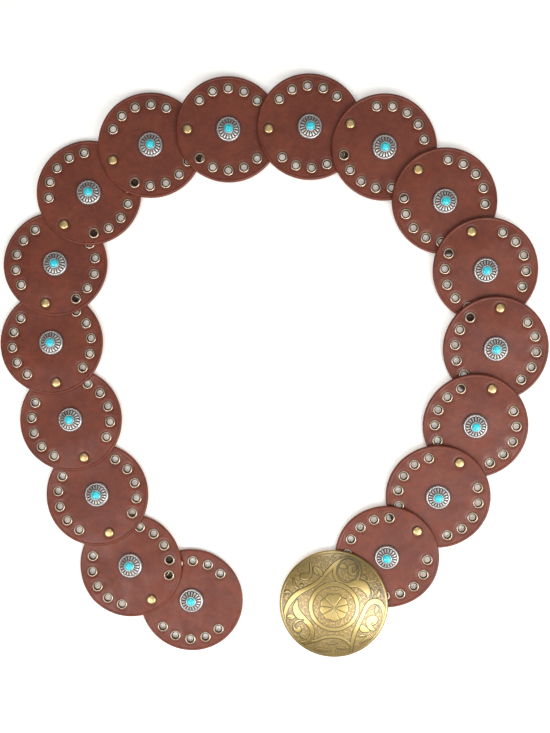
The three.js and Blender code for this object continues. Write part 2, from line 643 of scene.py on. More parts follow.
@dataclass(frozen=True)
class SilverFinish:
    """Polished silver, black in the grooves between the petals.

    Args:
        bright: colour of the worn metal
        tarnish: colour of the grooves
    """

    bright: Colour = (0.78, 0.74, 0.71)
    tarnish: Colour = (0.035, 0.030, 0.026)

    def material(self) -> bpy.types.Material:
        """Builds the material."""
        board = NodeBoard("antiqued_silver")
        groove = board.held_number("tarnish")
        stain = board.noise(1.1, 3, 0.6).rise(0.45, 0.75) * 0.35
        dark = groove.maths("MAXIMUM", stain * (0.4 + groove))
        colour = board.blend(dark, self.bright, self.tarnish)
        board.bump(board.noise(0.5, 3), 0.02, 0.5)
        return board.finish(Base_Color=colour, Metallic=1 - groove * 0.8, Roughness=0.38 + dark * 0.3)


@dataclass(frozen=True)
class TurquoiseFinish:
    """A polished, bright turquoise cabochon.

    Args:
        deep: colour of the deeper patches
        pale: colour of the paler patches
    """

    deep: Colour = (0.0, 0.68, 0.84)
    pale: Colour = (0.10, 0.86, 0.95)

    def material(self) -> bpy.types.Material:
        """Builds the material."""
        board = NodeBoard("turquoise")
        colour = board.blend(board.noise(1.6, 3).rise(0.35, 0.65), self.deep, self.pale)
        return board.finish(Base_Color=colour, Roughness=0.22, Coat_Weight=0.6, Coat_Roughness=0.08)


@dataclass(frozen=True)
class FastenerBrassFinish:
    """Brass of the rivets and eyelets, with painted shade where the attribute says so.

    Args:
        name: the material's name
        bright: colour of the worn metal
        dark: colour of the painted shade and the stains
        roughness: roughness of the worn metal
    """

    name: str
    bright: Colour
    dark: Colour
    roughness: float = 0.36

    def material(self) -> bpy.types.Material:
        """Builds the material."""
        board = NodeBoard(self.name)
        # painted shade where the piece says so, mixed below with real stains
        painted_shade_mask = board.held_number("painted_shade_mask")
        stain = board.noise(1.4, 3, 0.6).rise(0.5, 0.8) * 0.35
        dark = painted_shade_mask.maths("MAXIMUM", stain)
        colour = board.blend(dark, self.bright, self.dark)
        board.bump(board.noise(0.6, 3), 0.02, 0.5)
        return board.finish(Base_Color=colour, Metallic=1.0, Roughness=self.roughness + dark * 0.3)


@dataclass(frozen=True)
class EngravedBrassFinish:
    """Antique brass, dark in its engraved lines, browned on its stippled ground, with painted shade
    towards its rim and upper right.

    Args:
        bright: colour of the worn, plain metal
        ground: colour of the stippled ground
        line: colour of the engraved lines
        patina_and_shade: colour of the stains and of the painted shade
    """

    bright: Colour = (0.61, 0.435, 0.13)
    ground: Colour = (0.60, 0.41, 0.14)
    line: Colour = (0.050, 0.036, 0.006)
    patina_and_shade: Colour = (0.20, 0.13, 0.045)

    def material(self) -> bpy.types.Material:
        """Builds the material."""
        board = NodeBoard("engraved_brass")
        line = board.held_number("line")
        ground = board.held_number("ground")
        punch = board.held_number("punch")
        shade = board.held_number("shade")
        cloud = board.noise(9, 4, 0.6).rise(0.35, 0.75)
        speck = board.noise(0.7, 3, 0.7).rise(0.4, 0.8)
        colour = board.blend(ground * (0.65 + cloud * 0.35), self.bright, self.ground)
        # painted shade from the shade attribute, mixed with real speckled and clouded stains
        stain = shade * 0.55 + ground * speck * 0.18 + cloud * 0.06
        colour = board.blend(stain.maths("MINIMUM", 0.9), colour, self.patina_and_shade)
        mark = line.maths("MAXIMUM", punch * 0.72)
        colour = board.blend(mark, colour, self.line)
        board.bump(board.noise(0.45, 4, 0.7), 0.03, 0.6)
        roughness = 0.3 + ground * 0.12 + mark * 0.2 + shade * 0.1
        return board.finish(
            Base_Color=colour,
            Metallic=1 - mark * 0.7,
            Roughness=roughness,
            Coat_Weight=0.9,
            Coat_IOR=1.65,
            Coat_Roughness=0.2,
        )


# The strip of discs


@dataclass(frozen=True)
class Seat:
    """How one disc lies on the table.

    Args:
        number: the disc's number from the tail
        centre: its centre in the plane, in millimetres
        heading: the way it points, in radians
        high_reach: how far its ramp reaches from the centre on the side that lies on a disc
        low_reach: how far it reaches on the side that lies on the table
        low_level: height of the leather's underside on the low side, in millimetres
        climb: how much higher the other side lies
        corner_round: half the length of each rounded end of the ramp
    """

    number: int
    centre: Vector
    heading: float
    high_reach: float
    low_reach: float
    low_level: float
    climb: float
    corner_round: float = 3.0

    @property
    def label(self) -> str:
        """The number with two digits, as the CAD names have it."""
        return f"{self.number:02d}"

    def lift(self, along: np.ndarray) -> np.ndarray:
        """Gives the height of the underside above the low level.

        Args:
            along: places along the disc's axis, in millimetres

        Returns:
            The heights, in millimetres
        """
        if self.climb == 0:
            return np.zeros_like(along)
        length = self.high_reach + self.low_reach
        share = (self.low_reach - along) / length
        spread = self.corner_round / length

        def gathered(value: np.ndarray) -> np.ndarray:
            """The area under the clipped share."""
            inside = np.clip(value, 0, 1)
            return inside * inside / 2 + np.maximum(value - 1, 0)

        return self.climb * (gathered(share + spread) - gathered(share - spread)) / (2 * spread)

    def lay(self, piece: bpy.types.Object) -> None:
        """Bends a flat piece over its neighbour and puts it at its place.

        Args:
            piece: a piece made flat round the origin, with the leather's underside at z = 0
        """
        flat = corners_of(piece)
        laid = flat.copy()
        laid[:, 2] += (self.lift(flat[:, 0] / MM) + self.low_level) * MM
        cosine, sine = math.cos(self.heading), math.sin(self.heading)
        laid[:, 0] = cosine * flat[:, 0] - sine * flat[:, 1] + self.centre.x * MM
        laid[:, 1] = sine * flat[:, 0] + cosine * flat[:, 1] + self.centre.y * MM
        move_corners(piece, laid)

    def tilted_place(self) -> Matrix:
        """Gives the place of a rigid piece that sits on the middle of the ramp."""
        height = self.low_level
        tilt = 0.0
        if self.climb:
            length = self.high_reach + self.low_reach
            height += self.climb * self.low_reach / length
            tilt = math.atan2(self.climb, length)
        place = Matrix.Translation(Vector((self.centre.x, self.centre.y, height)) * MM)
        return place @ Matrix.Rotation(self.heading, 4, "Z") @ Matrix.Rotation(tilt, 4, "Y")


@dataclass(frozen=True)
class Strip:
    """The lay of all discs, read from the CAD nodes.

    Args:
        count: how many discs there are
        low_level: height of a disc's underside on the table side, in millimetres
        climb: how much higher its other side lies
        longest_reach: the longest half of a ramp
        margin: room between a ramp and the edge of the piece that overlaps it
    """

    count: int = 17
    low_level: float = 1.3
    climb: float = 2.6
    longest_reach: float = 15.0
    margin: float = 1.0

    def middle(self, node: str) -> Vector:
        """Gives the middle of a CAD node in the plane, in millimetres."""
        low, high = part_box(node)
        return ((low + high) / (2 * MM)).to_2d()

    def seats(self, disc: LeatherDisc, buckle: Buckle) -> list[Seat]:
        """Works out how every disc lies.

        Args:
            disc: the discs' sizes
            buckle: the buckle's sizes

        Returns:
            The seats, from the tail
        """
        centres = [self.middle(f"leather_disc_{n:02d}") for n in range(1, self.count + 1)]
        rivets = [self.middle(f"rivet_{n:02d}") for n in range(1, self.count)]
        ways = [rivets[0] - centres[0]]
        ways += [after - before for before, after in zip(rivets, rivets[1:])]
        ways.append(centres[-1] - rivets[-1])
        headings = [math.atan2(way.y, way.x) for way in ways]

        def reach(along: float, radius: float) -> float:
            """How far a ramp may reach towards a round piece that overlaps it."""
            return min(self.longest_reach, along - radius - self.margin)

        def overlap(turn: float) -> float:
            """The same towards the next disc."""
            return reach(disc.hole_circle_radius * (1 + math.cos(turn)), disc.radius)

        turns = [after - before for before, after in zip(headings, headings[1:])]
        overlaps = [overlap(turn) for turn in turns]
        under_buckle = reach(disc.hole_circle_radius + buckle.post_offset, buckle.radius)
        highs = [disc.radius, *overlaps]
        lows = [*overlaps, under_buckle]
        return [
            Seat(
                number=index + 1,
                centre=centres[index],
                heading=headings[index],
                high_reach=highs[index],
                low_reach=lows[index],
                low_level=self.low_level,
                climb=self.climb if index else 0.0,
            )
            for index in range(self.count)
        ]


@dataclass(frozen=True)
class LeatherDisc:
    """A round leather disc with its eyelet holes. Sizes are in millimetres.

    Args:
        radius: the disc's radius
        thickness: thickness of the leather
        hole_circle_radius: distance of every hole from the centre
        eyelet_radius: radius of an eyelet hole
        pin_radius: radius of the holes for rivets and the concho
        eyelet_angles: the eyelets' places from the disc's axis, on both sides, in degrees
        steps: corners of each ring of the mesh
        hole_steps: corners of a hole
        eyelet_dimple: how far the leather is pressed down round an eyelet
        rivet_dimple: how far it is pressed down round a rivet
        dimple_edge: how far from a fastener a dimple ends
        crease_depth: depth of the crease along the edge
        crease_inset: how far it is from the edge
        crease_width: its width
        lip_depth: how far the leather rises outside the crease
        lip: where that rise starts and ends, from the edge
        waves: how many waves the leather has
        wave_lengths: the shortest and the longest of them
        ripple_height: height of each of them
        seed: start of the waviness
    """

    radius: float = 35.0
    thickness: float = 2.0
    hole_circle_radius: float = 27.0
    eyelet_radius: float = 2.3
    pin_radius: float = 1.6
    eyelet_angles: tuple[float, ...] = (45, 67.5, 90, 112.5, 135)
    steps: int = 224
    hole_steps: int = 24
    eyelet_dimple: float = 0.36
    rivet_dimple: float = 0.42
    dimple_edge: float = 5.0
    crease_depth: float = 0.05
    crease_inset: float = 2.1
    crease_width: float = 0.34
    lip_depth: float = 0.24
    lip: tuple[float, float] = (1.95, 1.3)
    waves: int = 6
    wave_lengths: tuple[float, float] = (14, 34)
    ripple_height: float = 0.03
    seed: int = 7

    @property
    def eyelet_step(self) -> float:
        """The angle between neighbouring eyelets, in degrees."""
        return self.eyelet_angles[1] - self.eyelet_angles[0]

    def eyelet_places(self) -> list[tuple[float, float]]:
        """Gives the centres of the ten eyelets in the disc's own frame."""
        return [
            (
                self.hole_circle_radius * math.cos(math.radians(angle)),
                side * self.hole_circle_radius * math.sin(math.radians(angle)),
            )
            for side in (1, -1)
            for angle in self.eyelet_angles
        ]

    def rivet_places(self, is_tail: bool) -> list[tuple[float, float]]:
        """Gives the centres of the rivets in the disc's own frame; the tail disc has only one."""
        return [(side * self.hole_circle_radius, 0.0) for side in ((1,) if is_tail else (1, -1))]

    def profile(self) -> list[tuple[float, float]]:
        """Gives the rings of the disc, from the middle of the back round the edge to the top."""
        top = self.thickness
        back = [(radius, 0.0) for radius in (4, 9, 14, 19, 24, 29, 33)]
        lower_edge = [(0.5, 0.0), (0.12, 0.14), (0.0, 0.5), (0.0, top - 0.8)]
        upper_edge = [(0.12, top - 0.5), (0.35, top - 0.26), (0.7, top - 0.09), (1.15, top)]
        edge = [(self.radius - inset, height) for inset, height in (*lower_edge, *upper_edge)]
        near_edge = [(radius, top) for radius in (33.7, 33.45, 33.2, 32.95, 32.6, 32.1)]
        hole_zone = [(31.6 - 0.53 * ring, top) for ring in range(18)]
        middle_radii = (21.3, 19.5, 17.5, 15.5, 13.5, 11.5, 9.8, 8.6, 7.5, 5, 2.5)
        middle = [(radius, top) for radius in middle_radii]
        return [*back, *edge, *near_edge, *hole_zone, *middle]

    def drill(self, radius: float, places: Sequence[tuple[float, float]]) -> bpy.types.Object:
        """Makes upright pins that cut holes.

        Args:
            radius: their radius
            places: their centres

        Returns:
            The pins as one piece
        """
        pins = []
        for x, y in places:
            start_afresh()
            bpy.ops.mesh.primitive_cylinder_add(
                vertices=self.hole_steps,
                radius=radius * MM,
                depth=3 * self.thickness * MM,
                location=(x * MM, y * MM, self.thickness * MM / 2),
            )
            apply_place(bpy.context.active_object)
            pins.append(bpy.context.active_object)
        return join("pins", pins)

    def dimples(self, corners: np.ndarray, is_tail: bool) -> np.ndarray:
        """Gives how far the leather is pressed down round its fasteners and along its edge.

        Args:
            corners: places in the disc's frame, in millimetres
            is_tail: whether the disc has only one rivet

        Returns:
            The depths
        """
        sunk = np.zeros(len(corners))
        fasteners = (
            (self.eyelet_places(), self.eyelet_dimple, 3.9),
            (self.rivet_places(is_tail), self.rivet_dimple, 3.5),
        )
        for places, depth, rim in fasteners:
            for x, y in places:
                dimple = 1 - ease(away_from(corners, x, y), rim, self.dimple_edge)
                sunk = np.maximum(sunk, depth * dimple)
        radius = away_from(corners)
        beside_crease = (radius - self.radius + self.crease_inset) / self.crease_width
        crease = self.crease_depth * np.exp(-(beside_crease**2))
        lip_start, lip_end = (self.radius - inset for inset in self.lip)
        return sunk + crease - self.lip_depth * ease(radius, lip_start, lip_end)

    def master(self, is_tail: bool) -> bpy.types.Object:
        """Builds a flat disc round the origin, with its underside at z = 0.

        Args:
            is_tail: whether the disc has only one rivet

        Returns:
            The disc
        """
        disc = turn_profile("disc_master", self.profile(), self.steps)
        cut_with(disc, self.drill(self.eyelet_radius, self.eyelet_places()))
        pins = [(0.0, 0.0), *self.rivet_places(is_tail)]
        cut_with(disc, self.drill(self.pin_radius, pins))
        corners = corners_of(disc)
        on_top = corners[:, 2] > (self.thickness - 0.1) * MM
        depth = self.dimples(corners / MM, is_tail)
        corners[on_top, 2] -= depth[on_top] * MM
        move_corners(disc, corners)
        note_values(disc, "disc_place", corners / MM)
        note_values(disc, "free_end", np.full(len(corners), float(is_tail)))
        return disc

    def ripple(self, piece: bpy.types.Object, number: int) -> None:
        """Gives the leather a slight waviness of its own.

        Args:
            piece: a laid disc
            number: the disc's number
        """
        random = np.random.default_rng(self.seed + number)
        corners = corners_of(piece)
        wave = np.zeros(len(corners))
        for _ in range(self.waves):
            angle = random.uniform(0, 2 * math.pi)
            length = random.uniform(*self.wave_lengths) * MM
            phase = random.uniform(0, 2 * math.pi)
            along = corners[:, 0] * math.cos(angle) + corners[:, 1] * math.sin(angle)
            wave += np.sin(2 * math.pi * along / length + phase)
        corners[:, 2] += wave * self.ripple_height * MM
        move_corners(piece, corners)

    def note_eyelets_above(self, piece: bpy.types.Object, above: Seat | None) -> None:
        """Notes where a disc shows through the eyelets of the disc above it, where shadow is painted.

        Args:
            piece: a laid disc
            above: how the disc above it lies
        """
        corners = corners_of(piece) / MM
        covered = np.zeros(len(corners))
        if above:
            turn = Matrix.Rotation(above.heading, 2)
            for place in self.eyelet_places():
                middle = turn @ Vector(place) + above.centre
                covered = np.maximum(covered, 1 - ease(away_from(corners, *middle), 2.6, 3.6))
        note_values(piece, "eyelet_shadow", covered)

    def build(self, seats: Sequence[Seat], finish: LeatherFinish) -> None:
        """Builds and lays all discs.

        Args:
            seats: how the discs lie
            finish: the leather
        """
        masters = {is_tail: self.master(is_tail) for is_tail in (True, False)}
        material = finish.material(self)
        for master in masters.values():
            master.data.materials.append(material)
            smooth(master, 50)
        for seat, above in zip(seats, [*seats[1:], None]):
            piece = copy_piece(masters[seat.number == 1], f"disc_{seat.label}")
            seat.lay(piece)
            self.ripple(piece, seat.number)
            self.note_eyelets_above(piece, above)
            declare(piece, "leather", f"leather_disc_{seat.label}")
        for master in masters.values():
            bpy.data.objects.remove(master)


@dataclass(frozen=True)
class Eyelets:
    """Rolled brass eyelets in the leather. Sizes are in millimetres.

    Args:
        bore_radius: radius of the opening
        flange_radius: radius of the rolled rim
        steps: corners of each ring
    """

    bore_radius: float = 2.05
    flange_radius: float = 3.5
    steps: int = 16

    def master(self, disc: LeatherDisc) -> bpy.types.Object:
        """Builds the ten eyelets of a flat disc.

        Args:
            disc: the disc's sizes

        Returns:
            The eyelets as one piece
        """
        top = disc.thickness
        profile = [
            (self.bore_radius + 0.1, -0.18),
            (self.bore_radius, top - 0.85),
            (2.62, top + 0.08),
            (3.1, top + 0.26),
            (self.flange_radius, top - 0.12),
        ]
        ring = turn_profile("eyelet", profile, self.steps, closed=True)
        corners = corners_of(ring) / MM
        # painted shade on the eyelet's bore and on the inner slope of its rim
        painted_shade_mask = (1 - ease(away_from(corners), 2.5, 3.15)) * ease(corners[:, 2], 0.0, 0.2)
        note_values(ring, "painted_shade_mask", painted_shade_mask)
        smooth(ring, 75)
        rings = [copy_piece(ring, "eyelet", moved_to(*place)) for place in disc.eyelet_places()]
        bpy.data.objects.remove(ring)
        return join("eyelets_master", rings)

    def build(self, disc: LeatherDisc, seats: Sequence[Seat], finish: FastenerBrassFinish) -> None:
        """Builds the eyelets of all discs.

        Args:
            disc: the disc's sizes
            seats: how the discs lie
            finish: the brass
        """
        master = self.master(disc)
        master.data.materials.append(finish.material())
        for seat in seats:
            piece = copy_piece(master, f"eyelets_{seat.label}")
            seat.lay(piece)
            declare(piece, "antique_brass")
        bpy.data.objects.remove(master)


@dataclass(frozen=True)
class Concho:
    """A petalled silver rosette with a turquoise in a bezel. Sizes are in millimetres.

    Args:
        radius: the rosette's radius
        petals: how many petals it has
        steps: corners of each ring of the rosette
        stone_steps: corners of each ring of the stone
        petal_foot: where the petals start
        petal_tip: where they end
        petal_width: half their width, as a share of a petal's room
        tip_round: length of the rounding at their tips
        groove_depth: depth of the grooves between them
        ridge_height: how high the middle of a petal rises
        scallop_depth: how deep the rim is cut in between the petals
        turn: how far each concho is turned against the one before it, in degrees
    """

    radius: float = 8.25
    petals: int = 18
    steps: int = 180
    stone_steps: int = 48
    petal_foot: float = 3.8
    petal_tip: float = 6.9
    petal_width: float = 0.61
    tip_round: float = 0.9
    groove_depth: float = 0.5
    ridge_height: float = 0.26
    scallop_depth: float = 0.07
    turn: float = 7.0

    def rosette(self) -> bpy.types.Object:
        """Builds the smooth rosette with its bezel, round the origin."""
        foot = [(0.9, 1.7), (1.5, 1.8), (1.5, 2.3), (self.radius - 0.5, 2.2)]
        rim = [(self.radius, 2.3), (self.radius, 2.7), (self.radius - 0.12, 2.95)]
        dome = [(radius, self.dome_height(radius)) for radius in np.arange(7.7, 3.55, -0.26)]
        bezel = [(3.56, 4.95), (3.5, 5.2), (3.44, 5.8), (3.3, 6.06)]
        bezel += [(3.1, 6.16), (2.9, 6.1), (2.74, 5.8)]
        return turn_profile("rosette", [*foot, *rim, *dome, *bezel], self.steps)

    def dome_height(self, radius: float) -> float:
        """Gives the height of the smooth rosette at a distance from its axis."""
        bezel_radius, top, drop, roundness = 3.5, 5.1, 1.75, 1.15
        share = (radius - bezel_radius) / (self.radius - bezel_radius)
        return top - drop * share**roundness

    def carve(self, rosette: bpy.types.Object) -> None:
        """Carves the petals and notes where the grooves are.

        Args:
            rosette: the smooth rosette
        """
        corners = corners_of(rosette)
        radius = away_from(corners) / MM
        across = from_middle(corners, self.petals)
        rounding = np.clip((radius - self.petal_tip + self.tip_round) / self.tip_round, 0, 1)
        width = self.petal_width * np.sqrt(1 - rounding**2)
        beside = ease(across - width, -0.06, 0.18)
        groove_end = self.petal_tip + 0.1 - 0.45 * across**2
        inner = ease(radius, self.petal_foot - 0.25, self.petal_foot)
        outer = 1 - ease(radius, groove_end, groove_end + 0.3)
        groove = beside * inner * outer
        ridge = self.ridge_height * (1 - across**2) * inner * (1 - ease(radius, 6.2, 6.9))
        scallop = self.scallop_depth * across**2 * ease(radius, 7.0, 8.0)
        rim_level, bezel_level, back_level = 2.8 * MM, 5.3 * MM, 2.25 * MM
        on_top = corners[:, 2] > rim_level
        rise = ridge - groove * self.groove_depth - scallop
        foot = np.exp(-(((radius - 3.62) / 0.14) ** 2)) * (corners[:, 2] < bezel_level)
        corners[:, 2] += np.where(on_top, rise, 0) * MM
        move_corners(rosette, corners)
        underside = corners[:, 2] < back_level
        round_foot = 0.4 * inner * (1 - ease(radius, 4.4, 6.6))
        tarnish = np.maximum(np.where(on_top, np.maximum(groove, round_foot), 0), 0.8 * foot)
        note_values(rosette, "tarnish", tarnish + 0.4 * underside)

    def stone(self) -> bpy.types.Object:
        """Builds the domed stone."""
        foot = [(2.84, 5.7), (2.8, 6.0), (2.66, 6.45)]
        top = [(2.36, 6.85), (1.9, 7.15), (1.3, 7.36), (0.66, 7.48)]
        return turn_profile("stone", [*foot, *top], self.stone_steps)

    def back(self) -> bpy.types.Object:
        """Builds the post and the slotted screw head at the back."""
        profile = [(3.6, -1.3), (4.0, -1.1), (4.0, -0.5), (3.7, -0.3), (1.5, -0.3), (1.5, 2.4)]
        head = turn_profile("concho_back", profile, self.stone_steps)
        cut_with(head, add_block("slot", (9, 1.1, 0.9), (0, 0, -1.3)))
        return head

    def build(self, seats: Sequence[Seat], silver: SilverFinish, turquoise: TurquoiseFinish) -> None:
        """Builds all conchos.

        Args:
            seats: how the discs lie
            silver: the metal
            turquoise: the stone
        """
        rosette = self.rosette()
        self.carve(rosette)
        metal, gem = silver.material(), turquoise.material()
        parts = [(rosette, metal, 60), (self.back(), metal, 35), (self.stone(), gem, 60)]
        for part, material, angle in parts:
            part.data.materials.append(material)
            smooth(part, angle)
        master = join("concho_master", [part for part, _, _ in parts])
        for seat in seats:
            turned = Matrix.Rotation(math.radians(self.turn * seat.number), 4, "Z")
            piece = copy_piece(master, f"rosette_{seat.label}", seat.tilted_place() @ turned)
            declare(piece, "silver", f"concho_{seat.label}")
        bpy.data.objects.remove(master)


@dataclass(frozen=True)
class Rivet:
    """A domed brass rivet through two discs. Sizes are in millimetres.

    Args:
        cap_radius: radius of the cap
        post_radius: radius of the post
        painted_shadow: how dark the painted shade on the post and at the foot of the cap is
        steps: corners of each ring
    """

    cap_radius: float = 3.0
    post_radius: float = 1.5
    painted_shadow: float = 0.85
    steps: int = 40

    def master(self) -> bpy.types.Object:
        """Builds a rivet on the origin, standing on the table."""
        back = [(2.0, 0.12), (2.6, 0.0), (self.cap_radius, 0.2), (self.cap_radius, 0.75), (2.8, 1.0)]
        post = [(self.post_radius, 1.0), (self.post_radius, 5.7)]
        rim = [(2.75, 5.6), (2.97, 5.7), (self.cap_radius, 6.35), (2.93, 6.62), (2.75, 6.82)]
        dome = [(2.4, 7.0), (1.9, 7.14), (1.3, 7.24), (0.7, 7.3)]
        rivet = turn_profile("rivet_master", [*back, *post, *rim, *dome], self.steps)
        height = corners_of(rivet)[:, 2] / MM
        above_back = height > 1.2
        # painted shade on the post and at the foot of the cap
        note_values(rivet, "painted_shade_mask", self.painted_shadow * (1 - ease(height, 5.9, 6.5)) * above_back)
        smooth(rivet, 50)
        return rivet

    def build(self, count: int, strip: Strip, finish: FastenerBrassFinish) -> None:
        """Builds all rivets.

        Args:
            count: how many there are
            strip: the lay of the discs
            finish: the brass
        """
        master = self.master()
        master.data.materials.append(finish.material())
        for number in range(1, count + 1):
            node = f"rivet_{number:02d}"
            piece = copy_piece(master, f"pin_{number:02d}", moved_to(*strip.middle(node)))
            declare(piece, "rivet_brass", node)
        bpy.data.objects.remove(master)


# The buckle and its engraving


class Layer(Enum):
    """What a shape of the engraving is."""

    PLAIN = 1.0
    GROUND = 0.0


@dataclass(frozen=True)
class Stroke:
    """A smooth stroke that swells and narrows. Sizes are in millimetres.

    Args:
        trail: places along the middle of the stroke, each with the stroke's width there
        each: how many samples there are between two places of the trail
    """

    trail: Trail
    each: int = 14

    @classmethod
    def outwards(cls, angle: float, radii: Sequence[float], width: float) -> Stroke:
        """Gives a straight stroke away from the origin, at an angle and through some radii."""
        return cls(tuple((r * math.cos(angle), r * math.sin(angle), width) for r in radii))

    @classmethod
    def each_of(cls, trails: dict[str, Trail]) -> list[Stroke]:
        """Gives a stroke along each of some named trails."""
        return [cls(trail) for trail in trails.values()]

    def samples(self) -> np.ndarray:
        """Gives close places along the stroke, as rows of x, y and width."""
        knots = np.array(self.trail, dtype=float)
        if len(knots) == 1:
            return knots
        knots = np.vstack([2 * knots[0] - knots[1], knots, 2 * knots[-1] - knots[-2]])
        rows = []
        for before, start, end, after in zip(knots, knots[1:], knots[2:], knots[3:]):
            straight = end - before
            bend = 2 * before - 5 * start + 4 * end - after
            twist = 3 * start - before - 3 * end + after
            for share in np.arange(self.each) / self.each:
                doubled = 2 * start + straight * share + bend * share**2 + twist * share**3
                rows.append(0.5 * doubled)
        rows.append(knots[-2])
        return np.array(rows)

    def gap(self, spots: np.ndarray) -> np.ndarray:
        """Measures the way from the stroke's edge.

        Args:
            spots: places in the plane

        Returns:
            Distances, below zero inside the stroke
        """
        samples = self.samples()
        reach = samples[:, 2].max() / 2 + 1
        low = samples[:, :2].min(axis=0) - reach
        high = samples[:, :2].max(axis=0) + reach
        near = np.flatnonzero(np.all((spots > low) & (spots < high), axis=1))
        gaps = np.full(len(spots), FAR_AWAY)
        for part in np.array_split(near, max(1, len(near) // BATCH)):
            aside = spots[part, 0, None] - samples[:, 0]
            along = spots[part, 1, None] - samples[:, 1]
            gaps[part] = (np.hypot(aside, along) - samples[:, 2] / 2).min(axis=1)
        return gaps


@dataclass
class Engraving:
    """The engraved picture on the buckle, as values at the dome's corners.

    Args:
        spots: the corners' places in the plane from the dome's axis, in millimetres
        line_width: width of an engraved line
        softness: half the width of a shape's soft edge
        punch_reach: how far the stamped rings go from the axis
    """

    spots: np.ndarray
    line_width: float = 0.78
    softness: float = 0.15
    punch_reach: float = 38.0
    plain: np.ndarray = field(init=False)
    line: np.ndarray = field(init=False)

    def __post_init__(self) -> None:
        """Starts with a stippled ground all over."""
        self.plain = np.zeros(len(self.spots))
        self.line = np.zeros(len(self.spots))

    def cover(self, gaps: np.ndarray, layer: Layer) -> None:
        """Lays a shape over what is there, with a line round it.

        Args:
            gaps: distances from the shape's edge, below zero inside
            layer: what the shape is
        """
        inside = 1 - ease(gaps, -self.softness, self.softness)
        edge = 1 - ease(np.abs(gaps), 0.06, self.line_width * 0.62)
        self.line = np.maximum(self.line * (1 - inside), edge)
        self.plain = self.plain * (1 - inside) + layer.value * inside

    def union(self, strokes: Sequence[Stroke]) -> np.ndarray:
        """Gives the distance from the edge of several strokes that run together."""
        return np.minimum.reduce([stroke.gap(self.spots) for stroke in strokes])

    def incise(self, strokes: Sequence[Stroke]) -> None:
        """Cuts single lines as wide as the strokes say."""
        for stroke in strokes:
            self.line = np.maximum(self.line, 1 - ease(stroke.gap(self.spots), -0.16, 0.24))

    def circle_gap(self, centre: tuple[float, float], radius: float) -> np.ndarray:
        """Gives the distance from a circle, below zero inside."""
        return away_from(self.spots, *centre) - radius

    def punches(self, pitch: float, ring_radius: float, seed: int) -> np.ndarray:
        """Stamps small rings all over the ground.

        Args:
            pitch: distance between neighbouring rings
            ring_radius: radius of a ring
            seed: start of their unevenness

        Returns:
            1 in the groove of a ring and 0 away from it
        """
        random = np.random.default_rng(seed)
        reach = int(self.punch_reach / pitch)
        row_distance, unevenness = 0.87, 0.3
        places = []
        for row in range(-reach, reach + 1):
            for column in range(-reach, reach + 1):
                aside, along = random.uniform(-unevenness, unevenness, 2)
                x = (column + 0.5 * (row % 2) + aside) * pitch
                y = (row * row_distance + along) * pitch
                places.append((x, y))
        tree = kdtree.KDTree(len(places))
        for index, (x, y) in enumerate(places):
            tree.insert((x, y, 0), index)
        tree.balance()
        away = np.array([tree.find((x, y, 0))[2] for x, y in self.spots])
        ring = 1 - ease(np.abs(away - ring_radius), 0.04, 0.3)
        return ring * (1 - self.plain) * (1 - self.line)


